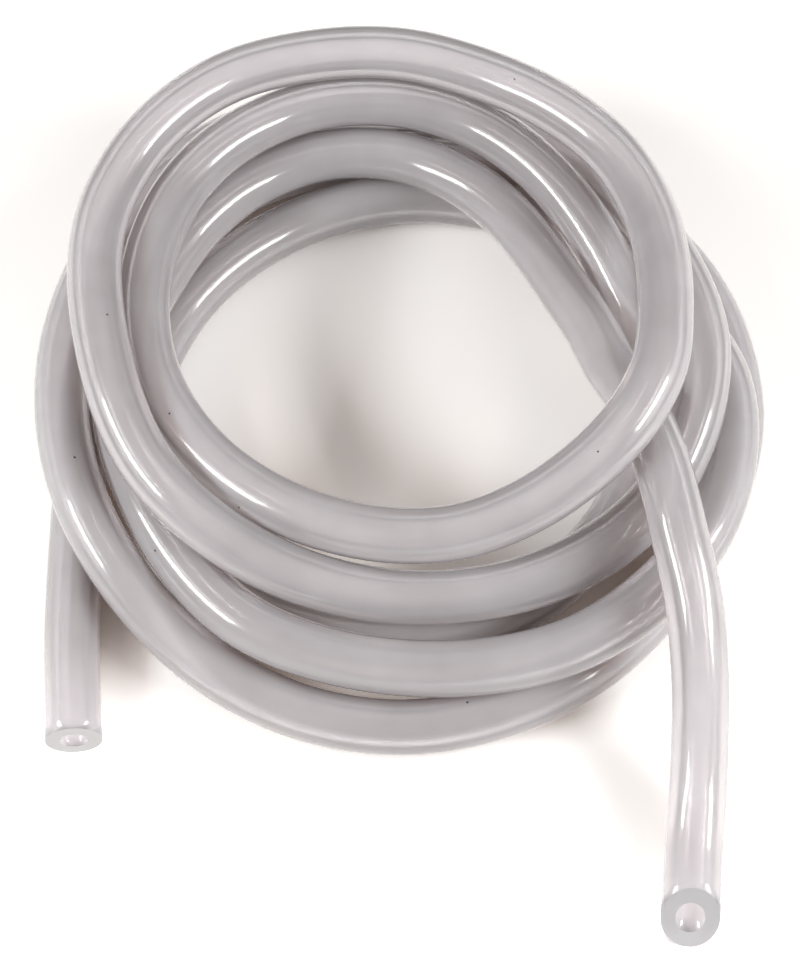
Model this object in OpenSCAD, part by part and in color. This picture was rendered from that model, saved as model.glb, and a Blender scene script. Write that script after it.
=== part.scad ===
// A length of soft silicone tubing, wound by hand into a loose coil that lies on a flat surface.
// It is one piece. The upper end lies over the coil and the lower end comes out under it, both at
// the front.

/* [Tubing] */
// Outside diameter of the tubing, in mm
tube_od = 10; // [8:0.5:13]
// Bore of the tubing, in mm
tube_id = 5; // [3:0.5:7]
// Clear distance between turns that lie side by side or on each other, in mm
turn_gap = 0.3; // [0.2:0.1:0.8]

/* [Coil] */
// Radius of the coil's outer turn on the surface, measured to the middle of the tubing, in mm
coil_r = 64.5; // [58:0.5:80]

/* [Ends] */
// Straight length at each end of the tubing, in mm
end_straight = 10; // [8:0.5:16]
// Direction in which the upper end points, in degrees from +X, anticlockwise
upper_heading = -96; // [-105:1:-85]
// Direction in which the lower end points, in degrees from +X, anticlockwise
lower_heading = -85; // [-95:1:-80]
// Slant of the upper end's cut away from a square cut, in degrees
cut_slant = 34; // [0:1:40]

/* [Hidden] */

// The tubing's middle stands this far from the surface and from its neighbours.
tube_r = tube_od / 2;
pitch = tube_od + turn_gap;

// The swept wall has this many sides and a ring of points about this far apart.
wall_sides = 12;
ring_step = 0.92 * tube_od;

// The swept wall reaches this far into the round ends and stays this far inside their wall.
end_lap = 0.6;
wall_inset = 0.03;
bore_clear = 1;

// The slanted cut reaches this far past the end's middle line, and this block is large enough to cut
// the end's waste away.
cut_reach = tube_r * tan(cut_slant);
cut_block = 6 * tube_od;

// The upper end's way down from the coil to the surface: lanes in from the coil's right side, lanes
// out past its front, and layers up. A lane and a layer are each one pitch.
upper_run = [
    [1.42, 2.42, 0],
    [1.32, 1.5, 0.2],
    [1.27, 0.55, 0.72],
    [1.28, -0.4, 1.4],
    [1.38, -1.35, 2],
    [1.58, -2.3, 2.38],
];

// The turns, as they were laid: the angle in degrees, anticlockwise from the right side, the lanes
// in from the coil's radius, and the layers up
turns = [
    // over every other turn at the front right, then inwards and down to the back
    [-30, 1.15, 2.52], [-15, 2.03, 2.18], [0, 2.55, 1.72], [15, 2.75, 1.57], [30, 2.8, 1.48],
    [45, 2.6, 1.35], [60, 2.15, 1.18], [75, 1.58, 1.03], [90, 1.08, 0.97], [105, 0.83, 0.93],
    [120, 0.87, 0.92], [135, 1.05, 0.95], [150, 1.22, 0.95], [180, 1.2, 0.96], [210, 1.2, 0.98],
    [240, 0.9, 0.85], [270, 0.75, 0.8], [300, 0.3, 1],
    // over the outer turn at the right, then down inside it
    [330, 0.15, 1.1], [360, 0.4, 0.98], [390, 1, 0.5], [420, 1.15, 0.05], [450, 1.35, 0],
    [480, 1.55, 0], [510, 1.6, 0], [540, 1.5, 0], [570, 1.45, 0], [600, 1.5, 0],
    [630, 1.6, 0], [660, 1.8, 0],
    // up the inside of the coil
    [690, 1.8, 0.3], [720, 1.75, 0.95], [750, 1.77, 1.4], [765, 1.55, 1.55], [780, 1.15, 1.65],
    [795, 0.72, 1.72], [810, 0.4, 1.77], [825, 0.3, 1.82], [840, 0.45, 1.88], [855, 0.75, 1.93],
    [870, 1.15, 1.98], [885, 1.5, 1.9], [900, 1.83, 1.78], [930, 2.42, 1.72], [960, 2.75, 1.72],
    [990, 2.77, 1.75], [1005, 2.6, 1.95], [1020, 2.37, 2.35], [1035, 2.1, 2.88],
    // the top turn
    [1050, 1.86, 3.32], [1065, 1.74, 3.47], [1080, 1.72, 3.4], [1095, 1.53, 3.2], [1110, 1.2, 3],
    [1125, 0.85, 2.87], [1140, 0.6, 2.8], [1155, 0.35, 2.75], [1170, 0.03, 2.72], [1185, -0.15, 2.7],
    [1200, -0.25, 2.7], [1215, -0.1, 2.65], [1230, 0.2, 2.55], [1260, 1.05, 2.46], [1290, 1.4, 2.05],
    [1320, 1.8, 1.45], [1350, 2, 0.97], [1380, 1.65, 1.07],
    // out of the coil over the turns at the right, and round the back on the outside
    [1410, 1.13, 1.37], [1425, 0.99, 1.74], [1440, 0.9, 1.9], [1470, 0.8, 1.7], [1485, 0.53, 1.42],
    [1500, 0.2, 1.15], [1530, -0.2, 0.9], [1560, -0.3, 0.87], [1590, -0.05, 0.9], [1620, 0.18, 1],
    [1650, 0.18, 0.97], [1665, 0.18, 0.45], [1680, 0.13, 0.12], [1695, 0.05, 0], [1710, 0, 0],
    [1740, 0.15, 0],
    // the outer turn on the surface
    [1770, 0.32, 0], [1800, 0.07, 0], [1830, -0.05, 0], [1860, 0.1, 0], [1890, 0.3, 0],
    [1920, 0.3, 0], [1950, 0.35, 0], [1980, 0.47, 0],
];

// The lower end's way out from under the coil: lanes in from the coil's left side, lanes back from
// its front, and layers up
lower_run = [
    [0.5, 4.2, 0],
    [0.52, 2.9, 0],
    [0.56, 1.7, 0],
    [0.64, 0.73, 0],
];

function heading(a) = [cos(a), sin(a), 0];
function height(layers) = tube_r + pitch * max(layers, 0);
function unit(v) = v / norm(v);
function clear_of_surface(p) = [p[0], p[1], max(p[2], tube_r)];
function at_right(s) = [coil_r - pitch * s[0], -coil_r - pitch * s[1], height(s[2])];
function at_left(s) = [pitch * s[0] - coil_r, pitch * s[1] - coil_r, height(s[2])];
function on_turn(s) = (coil_r - pitch * s[1]) * heading(s[0]) + [0, 0, height(s[2])];

laid = concat(
    [for (s = upper_run) at_right(s)],
    [for (s = turns) on_turn(s)],
    [for (s = lower_run) at_left(s)]
);
last = len(laid) - 1;

// Direction of the tubing at a laid point, from its two neighbours. The ends point along their
// headings.
function slope_between(a, b, c) =
    let (before = norm(b - a), after = norm(c - b))
    (unit(b - a) * after + unit(c - b) * before) / (before + after);
function slope(i) =
    i == 0 ? -heading(upper_heading)
    : i == last ? heading(lower_heading)
    : slope_between(laid[i - 1], laid[i], laid[i + 1]);

// Point and direction at t, from 0 to 1, between two laid points
function between(i, t) =
    let (h = norm(laid[i + 1] - laid[i]))
    clear_of_surface(
        (1 + 2 * t) * pow(1 - t, 2) * laid[i] + t * pow(1 - t, 2) * h * slope(i)
        + t * t * (3 - 2 * t) * laid[i + 1] - t * t * (1 - t) * h * slope(i + 1)
    );
function along(i, t) =
    let (h = norm(laid[i + 1] - laid[i]))
    unit(6 * t * (1 - t) * (laid[i + 1] - laid[i]) + (1 - t) * (1 - 3 * t) * h * slope(i)
    - t * (2 - 3 * t) * h * slope(i + 1));

// The tubing's middle line: places and directions, with one more ring inside each straight end
steps = [for (i = [0 : last - 1]) max(1, round(norm(laid[i + 1] - laid[i]) / ring_step))];
places = concat(
    [laid[0] + end_lap * heading(upper_heading)],
    [for (i = [0 : last - 1]) for (k = [0 : steps[i] - 1]) between(i, k / steps[i])],
    [laid[last], laid[last] + end_lap * heading(lower_heading)]
);
directions = concat(
    [slope(0)],
    [for (i = [0 : last - 1]) for (k = [0 : steps[i] - 1]) along(i, k / steps[i])],
    [slope(last), slope(last)]
);

// One ring of points round a place, square to the direction there
function ring(place, direction, r) =
    let (side = unit(cross(direction, [0, 0, 1])))
    let (top = cross(side, direction))
    [for (k = [0 : wall_sides - 1])
        let (a = 360 * k / wall_sides - 90)
        place + r * (cos(a) * side + sin(a) * top)];

// The box round the whole piece, which puts the origin under its middle
upper_mouth = laid[0] + end_straight * heading(upper_heading);
front_reach = norm([cut_reach * sin(upper_heading), tube_r * cos(upper_heading)]);
right = max([for (p = places) p[0]]) + tube_r;
left = min([for (p = places) p[0]]) - tube_r;
back = max([for (p = places) p[1]]) + tube_r;
front = upper_mouth[1] - front_reach;
middle = [(left + right) / 2, (front + back) / 2, 0];

module tube_wall() {
    outer = [for (i = [0 : len(places) - 1]) each ring(places[i], directions[i], tube_r - wall_inset)];
    bore_r = (tube_id / 2 + wall_inset) / cos(180 / wall_sides);
    inner = [for (i = [0 : len(places) - 1]) each ring(places[i], directions[i], bore_r)];
    n = wall_sides;
    shift = len(outer);
    end = (len(places) - 1) * n;
    around = [for (k = [0 : n - 1]) [k, (k + 1) % n]];
    polyhedron(
        points = concat(outer, inner),
        faces = concat(
            [for (i = [0 : len(places) - 2]) for (k = around)
                each [[i * n + k[0], i * n + k[1], (i + 1) * n + k[1]],
                      [i * n + k[0], (i + 1) * n + k[1], (i + 1) * n + k[0]]]],
            [for (i = [0 : len(places) - 2]) for (k = around)
                each [[shift + i * n + k[0], shift + (i + 1) * n + k[1], shift + i * n + k[1]],
                      [shift + i * n + k[0], shift + (i + 1) * n + k[0], shift + (i + 1) * n + k[1]]]],
            [for (k = around)
                each [[k[0], shift + k[1], k[1]], [k[0], shift + k[0], shift + k[1]]]],
            [for (k = around)
                each [[end + k[0], end + k[1], shift + end + k[1]],
                      [end + k[0], shift + end + k[1], shift + end + k[0]]]]
        )
    );
}

// A straight stretch of tubing with a true round bore, from the origin along +X
module straight_end(length) {
    rotate([0, 90, 0])
        difference() {
            cylinder(h = length, r = tube_r, $fn = 64);
            translate([0, 0, -bore_clear])
                cylinder(h = length + 2 * bore_clear, r = tube_id / 2, $fn = 64);
        }
}

// What a slanted knife takes off an end that points along +X: its face looks forwards and up
module slant_waste(length) {
    translate([length, 0, 0])
        rotate([0, -cut_slant, 0])
            translate([0, -cut_block / 2, -cut_block / 2])
                cube(cut_block);
}

module tubing() {
    color([0.8, 0.79, 0.79])
        translate(-middle) {
            tube_wall();
            translate(laid[0])
                rotate([0, 0, upper_heading])
                    difference() {
                        straight_end(end_straight + cut_reach);
                        slant_waste(end_straight);
                    }
            translate(laid[last])
                rotate([0, 0, lower_heading])
                    straight_end(end_straight);
        }
}

tubing();
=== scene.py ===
"""A silicone tubing coil in a plain studio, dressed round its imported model."""

import logging
import math
from dataclasses import dataclass, field
from enum import Enum
from typing import Any

import bpy
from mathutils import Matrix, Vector


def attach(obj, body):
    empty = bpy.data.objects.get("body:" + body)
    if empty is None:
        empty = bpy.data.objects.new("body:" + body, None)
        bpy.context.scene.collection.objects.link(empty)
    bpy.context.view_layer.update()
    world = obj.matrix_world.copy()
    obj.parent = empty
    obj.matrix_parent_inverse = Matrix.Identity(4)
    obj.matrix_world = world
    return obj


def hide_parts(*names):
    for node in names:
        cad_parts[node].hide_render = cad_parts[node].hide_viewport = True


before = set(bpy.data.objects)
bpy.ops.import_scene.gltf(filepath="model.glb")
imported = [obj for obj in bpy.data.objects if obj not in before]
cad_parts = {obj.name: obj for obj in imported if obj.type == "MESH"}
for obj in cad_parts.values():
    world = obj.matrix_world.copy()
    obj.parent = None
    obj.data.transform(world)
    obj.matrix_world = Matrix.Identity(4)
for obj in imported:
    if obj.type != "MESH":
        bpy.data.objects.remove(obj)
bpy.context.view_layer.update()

LOG = logging.getLogger("coil")
MM = 0.001


def linear(code: str, alpha: float = 1.0) -> tuple[float, float, float, float]:
    """Turn an sRGB hex colour into the linear one that Blender's nodes take.

    Args:
        code: Six hex digits, red first.
        alpha: The fourth number of the result.

    Returns:
        Red, green, blue and alpha, each from 0 to 1.
    """
    parts = [int(code[i:i + 2], 16) / 255 for i in (0, 2, 4)]
    red, green, blue = (c / 12.92 if c <= 0.04045 else ((c + 0.055) / 1.055) ** 2.4 for c in parts)
    return red, green, blue, alpha


def add_node(tree: bpy.types.NodeTree, kind: str, inputs: dict[Any, Any] | None = None,
             **settings: Any) -> bpy.types.Node:
    """Add one node with its settings and its inputs.

    Args:
        tree: The node tree that gets it.
        kind: The node's type name.
        inputs: What each input takes, by name or number: another node's socket, which is linked, or a value.
        settings: The node's own properties.

    Returns:
        The new node.
    """
    node = tree.nodes.new(kind)
    for name, value in settings.items():
        setattr(node, name, value)
    for name, value in (inputs or {}).items():
        if isinstance(value, bpy.types.NodeSocket):
            tree.links.new(value, node.inputs[name])
        else:
            node.inputs[name].default_value = value
    return node


class Lamp(Enum):
    """The two soft lamps: direction from the coil, width and height in metres, power in watts."""

    LEFT = ((-0.77, -0.25, 0.58), (0.42, 0.13), 3.5)
    RIGHT = ((0.79, -0.22, 0.57), (0.42, 0.13), 3.5)


@dataclass(frozen=True)
class Route:
    """The line that the middle of the tubing follows, from the upper end's mouth to the lower end's."""

    tube_r: float = 5 * MM
    pitch: float = 10.3 * MM
    coil_r: float = 64.5 * MM
    end_straight: float = 10 * MM
    upper_heading: float = -96
    lower_heading: float = -85
    cut_slant: float = 34
    middle: tuple[float, float] = (0.5665 * MM, -15.6029 * MM)
    # the route is worked out this many times finer than the step of its points
    fineness: float = 4
    # lanes in from the coil's right side, lanes out past its front, layers up
    upper_run: tuple[tuple[float, float, float], ...] = (
        (1.42, 2.42, 0), (1.32, 1.5, 0.2), (1.27, 0.55, 0.72),
        (1.28, -0.4, 1.4), (1.38, -1.35, 2), (1.58, -2.3, 2.38),
    )
    # angle in degrees, lanes in from the coil's radius, layers up
    turns: tuple[tuple[float, float, float], ...] = (
        # over every other turn at the front right, then inwards and down to the back
        (-30, 1.15, 2.52), (-15, 2.03, 2.18), (0, 2.55, 1.72), (15, 2.75, 1.57), (30, 2.8, 1.48),
        (45, 2.6, 1.35), (60, 2.15, 1.18), (75, 1.58, 1.03), (90, 1.08, 0.97), (105, 0.83, 0.93),
        (120, 0.87, 0.92), (135, 1.05, 0.95), (150, 1.22, 0.95), (180, 1.2, 0.96), (210, 1.2, 0.98),
        (240, 0.9, 0.85), (270, 0.75, 0.8), (300, 0.3, 1),
        # over the outer turn at the right, then down inside it
        (330, 0.15, 1.1), (360, 0.4, 0.98), (390, 1, 0.5), (420, 1.15, 0.05), (450, 1.35, 0),
        (480, 1.55, 0), (510, 1.6, 0), (540, 1.5, 0), (570, 1.45, 0), (600, 1.5, 0),
        (630, 1.6, 0), (660, 1.8, 0),
        # up the inside of the coil
        (690, 1.8, 0.3), (720, 1.75, 0.95), (750, 1.77, 1.4), (765, 1.55, 1.55), (780, 1.15, 1.65),
        (795, 0.72, 1.72), (810, 0.4, 1.77), (825, 0.3, 1.82), (840, 0.45, 1.88), (855, 0.75, 1.93),
        (870, 1.15, 1.98), (885, 1.5, 1.9), (900, 1.83, 1.78), (930, 2.42, 1.72), (960, 2.75, 1.72),
        (990, 2.77, 1.75), (1005, 2.6, 1.95), (1020, 2.37, 2.35), (1035, 2.1, 2.88),
        # the top turn
        (1050, 1.86, 3.32), (1065, 1.74, 3.47), (1080, 1.72, 3.4), (1095, 1.53, 3.2), (1110, 1.2, 3),
        (1125, 0.85, 2.87), (1140, 0.6, 2.8), (1155, 0.35, 2.75), (1170, 0.03, 2.72), (1185, -0.15, 2.7),
        (1200, -0.25, 2.7), (1215, -0.1, 2.65), (1230, 0.2, 2.55), (1260, 1.05, 2.46), (1290, 1.4, 2.05),
        (1320, 1.8, 1.45), (1350, 2, 0.97), (1380, 1.65, 1.07),
        # out of the coil over the turns at the right, and round the back on the outside
        (1410, 1.13, 1.37), (1425, 0.99, 1.74), (1440, 0.9, 1.9), (1470, 0.8, 1.7), (1485, 0.53, 1.42),
        (1500, 0.2, 1.15), (1530, -0.2, 0.9), (1560, -0.3, 0.87), (1590, -0.05, 0.9), (1620, 0.18, 1),
        (1650, 0.18, 0.97), (1665, 0.18, 0.45), (1680, 0.13, 0.12), (1695, 0.05, 0), (1710, 0, 0),
        (1740, 0.15, 0),
        # the outer turn on the surface
        (1770, 0.32, 0), (1800, 0.07, 0), (1830, -0.05, 0), (1860, 0.1, 0), (1890, 0.3, 0),
        (1920, 0.3, 0), (1950, 0.35, 0), (1980, 0.47, 0),
    )
    # lanes in from the coil's left side, lanes back from its front, layers up
    lower_run: tuple[tuple[float, float, float], ...] = (
        (0.5, 4.2, 0), (0.52, 2.9, 0), (0.56, 1.7, 0), (0.64, 0.73, 0),
    )

    def heading(self, degrees: float) -> Vector:
        """Give a unit vector in the plane of the surface.

        Args:
            degrees: Its angle from +X, anticlockwise.

        Returns:
            The vector.
        """
        return Vector((math.cos(math.radians(degrees)), math.sin(math.radians(degrees)), 0))

    def place(self, x: float, y: float, layers: float) -> Vector:
        """Turn a place round the coil's middle into a point in the frame.

        Args:
            x: Distance to the right of the coil's middle, in metres.
            y: Distance back from it, in metres.
            layers: Layers of tubing under the point.

        Returns:
            The point.
        """
        return Vector((x - self.middle[0], y - self.middle[1], self.tube_r + self.pitch * layers))

    def laid(self) -> list[Vector]:
        """Give the points that the tubing was laid through, in metres.

        Returns:
            The points, from the upper end's straight to the lower end's.
        """
        step, radius = self.pitch, self.coil_r
        points = [self.place(radius - step * a, -radius - step * b, c) for a, b, c in self.upper_run]
        for angle, lanes, layers in self.turns:
            across = self.heading(angle) * (radius - step * lanes)
            points.append(self.place(across.x, across.y, layers))
        points += [self.place(step * a - radius, step * b - radius, c) for a, b, c in self.lower_run]
        return points

    def line(self, step: float) -> list[Vector]:
        """Give the whole middle line, with the straight ends.

        Args:
            step: Distance between its points, in metres.

        Returns:
            Points at equal distances, from the upper mouth to the lower one.
        """
        laid = self.laid()
        spans = [(b - a).length for a, b in zip(laid, laid[1:])]
        slopes = [-self.heading(self.upper_heading)]
        for i in range(1, len(laid) - 1):
            before, after = spans[i - 1], spans[i]
            one, two = (laid[i] - laid[i - 1]) / before, (laid[i + 1] - laid[i]) / after
            slopes.append((one * after + two * before) / (before + after))
        slopes.append(self.heading(self.lower_heading))
        fine = [laid[0] - slopes[0] * self.end_straight]
        for i, span in enumerate(spans):
            parts = max(1, round(self.fineness * span / step))
            for k in range(parts):
                t = k / parts
                point = ((1 + 2 * t) * (1 - t) ** 2 * laid[i] + t * (1 - t) ** 2 * span * slopes[i]
                         + t * t * (3 - 2 * t) * laid[i + 1] - t * t * (1 - t) * span * slopes[i + 1])
                point.z = max(point.z, self.tube_r)
                fine.append(point)
        fine += [laid[-1], laid[-1] + slopes[-1] * self.end_straight]
        return self.even(fine, step)

    def even(self, fine: list[Vector], step: float) -> list[Vector]:
        """Space points evenly along a line.

        Args:
            fine: The line's points, at any distances.
            step: The distance wanted, in metres.

        Returns:
            Evenly spaced points with the same first and last one.
        """
        reach = [0.0]
        for a, b in zip(fine, fine[1:]):
            reach.append(reach[-1] + (b - a).length)
        count = round(reach[-1] / step)
        out, i = [], 0
        for k in range(count + 1):
            s = reach[-1] * k / count
            while i < len(fine) - 2 and reach[i + 1] < s:
                i += 1
            t = (s - reach[i]) / (reach[i + 1] - reach[i])
            out.append(fine[i].lerp(fine[i + 1], min(max(t, 0), 1)))
        return out


@dataclass(frozen=True)
class MilkySilicone:
    """Platinum-cured silicone rubber, extruded through a die: milky and see-through under a glossy skin."""

    body: str = "FBF8FB"
    speck: str = "6E6868"
    roughness: float = 0.19
    roughness_swing: float = 0.012
    skin_roughness: float = 0.07
    ior: float = 1.41
    clear_outside: float = 0.61
    clear_swing: float = 0.08
    clear_bore: float = 0.86
    clear_mouth: float = 1.0
    clear_cut: float = 0.42
    depth_colour: str = "BDB7BB"
    depth: float = 75.0
    shade: str = "C2B9B3"
    # real sizes: the die leaves lines about 0.6 mm apart, drawn 1.5 mm apart so that they show
    line_width: float = 1.5 * MM
    line_length: float = 200 * MM
    line_height: float = 0.0008 * MM
    cloud_size: float = 14 * MM
    speck_spacing: float = 8 * MM
    speck_size: float = 0.22 * MM
    line_detail: float = 1.0
    cloud_detail: float = 2.0
    tube_r: float = 5 * MM

    def die_lines(self, tree: bpy.types.NodeTree) -> bpy.types.NodeSocket:
        """Fine lines along the tubing, left by the die.

        Args:
            tree: The material's tree.

        Returns:
            Their height, from 0 to 1.
        """
        chart = add_node(tree, "ShaderNodeSeparateXYZ", {
            0: add_node(tree, "ShaderNodeUVMap", uv_map="UVMap").outputs[0]}).outputs
        turn = add_node(tree, "ShaderNodeMath", {0: chart["X"], 1: 2 * math.pi}, operation="MULTIPLY").outputs[0]
        ring = [add_node(tree, "ShaderNodeMath", {
            0: add_node(tree, "ShaderNodeMath", {0: turn}, operation=kind).outputs[0],
            1: self.tube_r / self.line_width}, operation="MULTIPLY").outputs[0] for kind in ("COSINE", "SINE")]
        along = add_node(tree, "ShaderNodeMath", {0: chart["Y"], 1: 1 / self.line_length},
                         operation="MULTIPLY").outputs[0]
        spot = add_node(tree, "ShaderNodeCombineXYZ", {0: ring[0], 1: ring[1], 2: along}).outputs[0]
        return add_node(tree, "ShaderNodeTexNoise", {
            "Vector": spot, "Scale": 1.0, "Detail": self.line_detail}).outputs[0]

    def specks(self, tree: bpy.types.NodeTree, spot: bpy.types.NodeSocket) -> bpy.types.NodeSocket:
        """Dust caught on the soft surface: a tiny speck every centimetre or so.

        Args:
            tree: The material's tree.
            spot: The piece's own coordinates.

        Returns:
            1 on a speck, 0 elsewhere.
        """
        cells = add_node(tree, "ShaderNodeTexVoronoi", {"Vector": spot, "Scale": 1 / self.speck_spacing})
        return add_node(tree, "ShaderNodeMath", {
            0: cells.outputs["Distance"], 1: self.speck_size / self.speck_spacing},
            operation="LESS_THAN").outputs[0]

    def build(self) -> bpy.types.Material:
        """Make the material.

        Returns:
            The material, with its pattern in the tubing's own UV map and coordinates.
        """
        material = bpy.data.materials.new("extruded_milky_silicone")
        material.use_nodes = True
        tree = material.node_tree
        tree.nodes.clear()
        spot = add_node(tree, "ShaderNodeTexCoord").outputs["Object"]
        bore, cut, mouth = (add_node(tree, "ShaderNodeAttribute", attribute_name=name).outputs["Fac"]
                            for name in ("bore", "cut_face", "mouth"))
        lines = self.die_lines(tree)
        cloud = add_node(tree, "ShaderNodeTexNoise", {
            "Vector": spot, "Scale": 1 / self.cloud_size, "Detail": self.cloud_detail}).outputs[0]

        def ranged(value: Any, low: Any, high: Any) -> bpy.types.NodeSocket:
            """Spread a value from 0 to 1 over a range.

            Args:
                value: The value.
                low: The result at 0.
                high: The result at 1.

            Returns:
                The result's socket.
            """
            return add_node(tree, "ShaderNodeMapRange", {"Value": value, "To Min": low, "To Max": high}).outputs[0]

        clear = ranged(cloud, self.clear_outside - self.clear_swing, self.clear_outside + self.clear_swing)
        clear = ranged(bore, clear, ranged(mouth, self.clear_bore, self.clear_mouth))
        clear = ranged(cut, clear, self.clear_cut)
        rough = ranged(lines, self.roughness - self.roughness_swing, self.roughness + self.roughness_swing)
        colour = add_node(tree, "ShaderNodeMix", {
            "Factor": self.specks(tree, spot), 6: linear(self.body), 7: linear(self.speck)},
            data_type="RGBA").outputs[2]
        bump = add_node(tree, "ShaderNodeBump", {
            "Strength": ranged(cut, 1.0, 0.0), "Distance": self.line_height, "Height": lines}).outputs[0]
        shader = add_node(tree, "ShaderNodeBsdfPrincipled", {
            "Base Color": colour,
            "Roughness": rough,
            "IOR": self.ior,
            "Coat Weight": 1.0,
            "Coat IOR": self.ior,
            "Coat Roughness": self.skin_roughness,
            "Transmission Weight": clear,
            "Normal": bump,
        })
        # a lamp's light that crosses the wall is dimmed, less so where it also enters at an open mouth
        tint = add_node(tree, "ShaderNodeMix", {
            "Factor": mouth, 6: linear(self.shade), 7: linear("FFFFFF")}, data_type="RGBA").outputs[2]
        passing = add_node(tree, "ShaderNodeBsdfTransparent", {"Color": tint})
        lamp_rays = add_node(tree, "ShaderNodeLightPath").outputs["Is Shadow Ray"]
        surface = add_node(tree, "ShaderNodeMixShader", {
            0: lamp_rays, 1: shader.outputs["BSDF"], 2: passing.outputs[0]})
        depth = add_node(tree, "ShaderNodeVolumeAbsorption", {
            "Color": linear(self.depth_colour), "Density": self.depth})
        add_node(tree, "ShaderNodeOutputMaterial", {
            "Surface": surface.outputs[0], "Volume": depth.outputs[0]})
        return material


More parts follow.
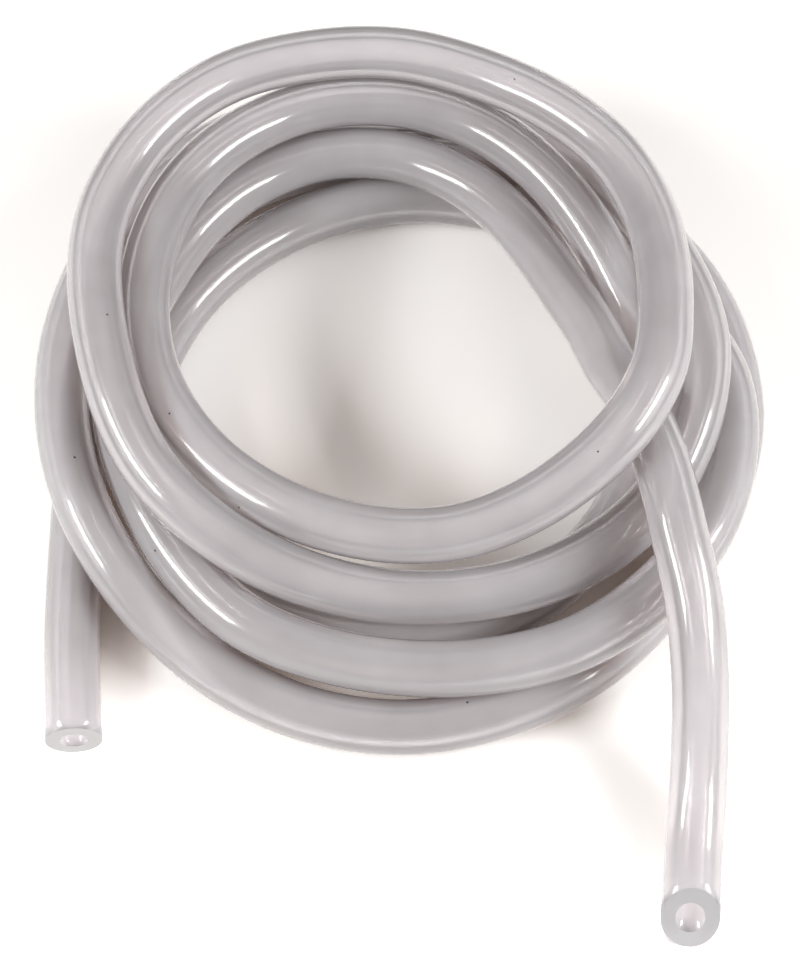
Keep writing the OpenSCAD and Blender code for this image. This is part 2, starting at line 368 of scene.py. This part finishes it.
@dataclass
class TubingCoil:
    """The one piece: a length of tubing with its bore open at both cut ends."""

    route: Route
    finish: MilkySilicone
    bore_r: float = 2.5 * MM
    sides: int = 40
    ring_step: float = 2.2 * MM
    weld: float = 0.002 * MM
    lit_reach: float = 22 * MM
    line: list[Vector] = field(default_factory=list)

    def tree(self) -> bpy.types.NodeTree:
        """Make the Geometry Nodes tree that sweeps the wall, the bore and both cuts along the route.

        Returns:
            The tree. Its group takes the route as a chain of edges.
        """
        tree = bpy.data.node_groups.new("swept_tubing", "GeometryNodeTree")
        face = tree.interface
        face.new_socket("Geometry", in_out="INPUT", socket_type="NodeSocketGeometry")
        for name, kind in (("Outside radius", "Float"), ("Bore radius", "Float"), ("Sides", "Int"),
                           ("Rings", "Int"), ("Straight", "Float"), ("Slant", "Float"),
                           ("Mouth", "Vector"), ("Heading", "Vector"), ("Length", "Float"),
                           ("Weld", "Float"), ("Lit reach", "Float"), ("Material", "Material")):
            face.new_socket(name, in_out="INPUT", socket_type="NodeSocket" + kind)
        face.new_socket("Geometry", in_out="OUTPUT", socket_type="NodeSocketGeometry")
        given = add_node(tree, "NodeGroupInput").outputs

        def sums(operation: str, *values: Any) -> bpy.types.NodeSocket:
            """Add one step of arithmetic on numbers.

            Args:
                operation: The step's name.
                values: What it works on.

            Returns:
                The result's socket.
            """
            return add_node(tree, "ShaderNodeMath", dict(enumerate(values)), operation=operation).outputs[0]

        def vectors(operation: str, *values: Any) -> bpy.types.NodeSocket:
            """Add one step of arithmetic that gives a vector.

            Args:
                operation: The step's name.
                values: What it works on: two vectors, or a vector and a number to scale it by.

            Returns:
                The result's socket.
            """
            inputs = dict(enumerate(values))
            if operation == "SCALE":
                inputs = {0: values[0], "Scale": values[1]}
            return add_node(tree, "ShaderNodeVectorMath", inputs, operation=operation).outputs[0]

        sides, rings = given["Sides"], given["Rings"]
        columns = sums("ADD", sides, 1.0)
        twice = sums("MULTIPLY", rings, 2.0)
        grid = add_node(tree, "GeometryNodeMeshGrid", {
            "Vertices X": sums("ADD", twice, 1.0), "Vertices Y": columns})
        index = add_node(tree, "GeometryNodeInputIndex").outputs[0]
        row = sums("FLOOR", sums("DIVIDE", sums("ADD", index, 0.5), columns))
        column = sums("SUBTRACT", index, sums("MULTIPLY", row, columns))
        back = sums("SUBTRACT", sums("SUBTRACT", twice, 1.0), row)
        run = sums("MAXIMUM", sums("MINIMUM", row, back), 0.0)
        inside = sums("MULTIPLY", sums("GREATER_THAN", row, sums("SUBTRACT", rings, 0.5)),
                      sums("LESS_THAN", row, sums("SUBTRACT", twice, 0.5)))
        radius = sums("ADD", given["Outside radius"], sums("MULTIPLY", inside, sums(
            "SUBTRACT", given["Bore radius"], given["Outside radius"])))
        along = sums("DIVIDE", run, sums("SUBTRACT", rings, 1.0))
        around = sums("DIVIDE", column, sides)

        curve = add_node(tree, "GeometryNodeMeshToCurve", {"Mesh": given["Geometry"]})
        upright = add_node(tree, "GeometryNodeSetCurveNormal", {"Curve": curve.outputs[0]}, mode="Z_UP")
        sample = add_node(tree, "GeometryNodeSampleCurve", {
            "Curves": upright.outputs[0], "Factor": along}, mode="FACTOR").outputs
        turn = sums("MULTIPLY", around, 2 * math.pi)
        second = vectors("CROSS_PRODUCT", sample["Tangent"], sample["Normal"])
        out = vectors("ADD",
                      vectors("SCALE", sample["Normal"], sums("MULTIPLY", radius, sums("COSINE", turn))),
                      vectors("SCALE", second, sums("MULTIPLY", radius, sums("SINE", turn))))
        apart = add_node(tree, "ShaderNodeVectorMath", {0: sample["Position"], 1: given["Mouth"]},
                         operation="DISTANCE").outputs["Value"]
        near = sums("MAXIMUM", sums("SUBTRACT", 1.0, sums("DIVIDE", apart, given["Straight"])), 0.0)
        rise = add_node(tree, "ShaderNodeSeparateXYZ", {0: out}).outputs["Z"]
        slide = sums("MULTIPLY", sums("MULTIPLY", rise, near), sums("MULTIPLY", given["Slant"], -1.0))
        place = vectors("ADD", vectors("ADD", sample["Position"], out),
                        vectors("SCALE", given["Heading"], slide))
        shaped = add_node(tree, "GeometryNodeSetPosition", {"Geometry": grid.outputs["Mesh"], "Position": place})

        chart = add_node(tree, "ShaderNodeCombineXYZ", {0: around, 1: sums("MULTIPLY", along, given["Length"])})
        on_points = add_node(tree, "GeometryNodeFieldOnDomain", {0: chart.outputs[0]},
                             data_type="FLOAT_VECTOR", domain="POINT")
        mapped = add_node(tree, "GeometryNodeStoreNamedAttribute", {
            "Geometry": shaped.outputs[0], "Name": "UVMap", "Value": on_points.outputs[0]},
            data_type="FLOAT2", domain="CORNER")
        band = sums("FLOOR", sums("DIVIDE", sums("ADD", index, 0.5), sides))
        cut = sums("MAXIMUM", sums("COMPARE", band, sums("SUBTRACT", rings, 1.0), 0.1),
                   sums("COMPARE", band, sums("SUBTRACT", twice, 1.0), 0.1))
        marked = add_node(tree, "GeometryNodeStoreNamedAttribute", {
            "Geometry": mapped.outputs[0], "Name": "cut_face", "Value": cut},
            data_type="FLOAT", domain="FACE")
        inner = sums("MULTIPLY", sums("GREATER_THAN", band, sums("SUBTRACT", rings, 0.5)),
                     sums("LESS_THAN", band, sums("SUBTRACT", twice, 1.5)))
        told = add_node(tree, "GeometryNodeStoreNamedAttribute", {
            "Geometry": marked.outputs[0], "Name": "bore", "Value": inner},
            data_type="FLOAT", domain="FACE")
        inwards = sums("MULTIPLY", sums("MINIMUM", run, sums("SUBTRACT", sums("SUBTRACT", rings, 1.0), run)),
                       sums("DIVIDE", given["Length"], sums("SUBTRACT", rings, 1.0)))
        mouth = sums("MAXIMUM", sums("SUBTRACT", 1.0, sums("DIVIDE", inwards, given["Lit reach"])), 0.0)
        lit = add_node(tree, "GeometryNodeStoreNamedAttribute", {
            "Geometry": told.outputs[0], "Name": "mouth", "Value": mouth}, data_type="FLOAT", domain="POINT")
        smooth = add_node(tree, "GeometryNodeSetShadeSmooth", {
            "Geometry": lit.outputs[0], "Shade Smooth": sums("LESS_THAN", cut, 0.5)})
        welded = add_node(tree, "GeometryNodeMergeByDistance", {
            "Geometry": smooth.outputs[0], "Distance": given["Weld"]})
        outward = add_node(tree, "GeometryNodeFlipFaces", {"Mesh": welded.outputs[0]})
        dressed = add_node(tree, "GeometryNodeSetMaterial", {
            "Geometry": outward.outputs[0], "Material": given["Material"]})
        add_node(tree, "NodeGroupOutput", {"Geometry": dressed.outputs[0]})
        return tree

    def build(self) -> bpy.types.Object:
        """Sweep the tubing and turn it into a plain mesh.

        Returns:
            The finished piece.
        """
        route = self.route
        self.line = route.line(self.ring_step)
        chain = bpy.data.meshes.new("tubing_route")
        chain.from_pydata([p[:] for p in self.line], [(i, i + 1) for i in range(len(self.line) - 1)], [])
        source = bpy.data.objects.new("tubing_route", chain)
        bpy.context.collection.objects.link(source)
        tree = self.tree()
        modifier = source.modifiers.new("sweep", "NODES")
        modifier.node_group = tree
        values = {
            "Outside radius": route.tube_r, "Bore radius": self.bore_r, "Sides": self.sides,
            "Rings": len(self.line), "Straight": route.end_straight,
            "Slant": math.tan(math.radians(route.cut_slant)), "Mouth": self.line[0][:],
            "Heading": route.heading(route.upper_heading)[:],
            "Length": self.ring_step * (len(self.line) - 1), "Weld": self.weld, "Lit reach": self.lit_reach,
            "Material": self.finish.build(),
        }
        for item in tree.interface.items_tree:
            if item.in_out == "INPUT" and item.name in values:
                modifier[item.identifier] = values[item.name]
        source.update_tag()
        graph = bpy.context.evaluated_depsgraph_get()
        mesh = bpy.data.meshes.new_from_object(source.evaluated_get(graph), depsgraph=graph)
        mesh.name = "silicone_tubing"
        piece = bpy.data.objects.new("silicone_tubing", mesh)
        bpy.context.collection.objects.link(piece)
        bpy.data.objects.remove(source)
        return piece

    def declare(self, piece: bpy.types.Object) -> None:
        """Hang the piece on the root body and hide the imported part that it stands for.

        Args:
            piece: The finished tubing.
        """
        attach(piece, "root")
        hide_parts("tubing")
        length = sum((b - a).length for a, b in zip(self.line, self.line[1:]))


@dataclass
class Studio:
    """The plain white table, the lamps, the light all round and the camera."""

    aim: tuple[float, float, float] = (-0.5665 * MM, 2.6029 * MM, 0)
    distance: float = 451 * MM
    elevation: float = 60
    lens: float = 108
    sensor: float = 36
    floor_colour: str = "F4F2F0"
    floor_gain: float = 1.6
    lamp_distance: float = 0.7
    sky: str = "FFFCF9"
    horizon: float = 0.1
    zenith: float = 0.27
    clip: tuple[float, float] = (0.01, 20)
    table_half: float = 6
    bounces: int = 8

    def camera(self) -> bpy.types.Object:
        """Stand the camera where the photograph was taken from.

        Returns:
            The camera, which is the scene's own.
        """
        data = bpy.data.cameras.new("camera")
        data.lens = self.lens
        data.sensor_fit = "HORIZONTAL"
        data.sensor_width = self.sensor
        data.clip_start, data.clip_end = self.clip
        item = bpy.data.objects.new("camera", data)
        bpy.context.collection.objects.link(item)
        tilt = math.radians(self.elevation)
        back = Vector((0, -math.cos(tilt), math.sin(tilt)))
        item.location = Vector(self.aim) + back * self.distance
        item.rotation_euler = (math.radians(90 - self.elevation), 0, 0)
        bpy.context.scene.camera = item
        return item

    def floor(self) -> bpy.types.Object:
        """Lay the white table under the coil.

        Returns:
            The floor.
        """
        mesh = bpy.data.meshes.new("table")
        half = self.table_half
        mesh.from_pydata([(-half, -half, 0), (half, -half, 0), (half, half, 0), (-half, half, 0)], [],
                         [(0, 1, 2, 3)])
        item = bpy.data.objects.new("table", mesh)
        bpy.context.collection.objects.link(item)
        material = bpy.data.materials.new("matt_white_laminate")
        material.use_nodes = True
        tree = material.node_tree
        tree.nodes.clear()
        rays = add_node(tree, "ShaderNodeLightPath").outputs
        seen = add_node(tree, "ShaderNodeMath", {0: rays["Is Camera Ray"], 1: rays["Is Glossy Ray"]},
                        operation="MAXIMUM").outputs[0]
        seen = add_node(tree, "ShaderNodeMath", {0: seen, 1: rays["Is Transmission Ray"]},
                        operation="MAXIMUM").outputs[0]
        gain = add_node(tree, "ShaderNodeMapRange", {
            "Value": seen, "To Min": 1.0, "To Max": self.floor_gain}).outputs[0]
        colour = add_node(tree, "ShaderNodeVectorMath", {
            0: linear(self.floor_colour)[:3], "Scale": gain}, operation="SCALE").outputs[0]
        plain = add_node(tree, "ShaderNodeBsdfDiffuse", {"Color": colour})
        add_node(tree, "ShaderNodeOutputMaterial", {"Surface": plain.outputs[0]})
        mesh.materials.append(material)
        return item

    def lamp(self, kind: Lamp) -> bpy.types.Object:
        """Hang one soft lamp that faces the coil.

        Args:
            kind: Which of the lamps.

        Returns:
            The lamp.
        """
        direction, size, power = kind.value
        name = kind.name.lower() + "_lamp"
        data = bpy.data.lights.new(name, "AREA")
        data.shape = "RECTANGLE"
        data.size, data.size_y = size
        data.energy = power
        item = bpy.data.objects.new(name, data)
        bpy.context.collection.objects.link(item)
        way = Vector(direction).normalized()
        item.location = way * self.lamp_distance
        item.rotation_euler = way.to_track_quat("Z", "Y").to_euler()
        return item

    def look(self) -> None:
        """Set how light is shown and followed: without caustics the shadows keep their depth."""
        scene = bpy.context.scene
        scene.view_settings.view_transform = "Standard"
        scene.cycles.caustics_refractive = False
        scene.cycles.caustics_reflective = False
        scene.cycles.max_bounces = self.bounces
        scene.cycles.transmission_bounces = self.bounces

    def world(self) -> None:
        """Make the light all round, white to the eye."""
        world = bpy.data.worlds.new("studio")
        bpy.context.scene.world = world
        world.use_nodes = True
        tree = world.node_tree
        tree.nodes.clear()
        way = add_node(tree, "ShaderNodeTexCoord").outputs["Generated"]
        up = add_node(tree, "ShaderNodeSeparateXYZ", {0: way}).outputs["Z"]
        strength = add_node(tree, "ShaderNodeMapRange", {
            "Value": up, "From Min": 0.0, "From Max": 1.0, "To Min": self.horizon, "To Max": self.zenith},
            interpolation_type="SMOOTHSTEP").outputs[0]
        back = add_node(tree, "ShaderNodeBackground", {"Color": linear(self.sky), "Strength": strength})
        add_node(tree, "ShaderNodeOutputWorld", {"Surface": back.outputs[0]})


def main() -> None:
    """Build the studio and the coil, and report each piece."""
    logging.basicConfig(level=logging.INFO, format="%(message)s")
    studio = Studio()
    studio.look()
    LOG.info("camera %s", studio.camera().name)
    coil = TubingCoil(Route(), MilkySilicone())
    piece = coil.build()
    coil.declare(piece)
    LOG.info("%s: %d points, %d faces", piece.name, len(piece.data.vertices), len(piece.data.polygons))
    LOG.info("floor %s", studio.floor().name)
    for kind in Lamp:
        LOG.info("lamp %s", studio.lamp(kind).name)
    studio.world()


if __name__ == "__main__":
    main()
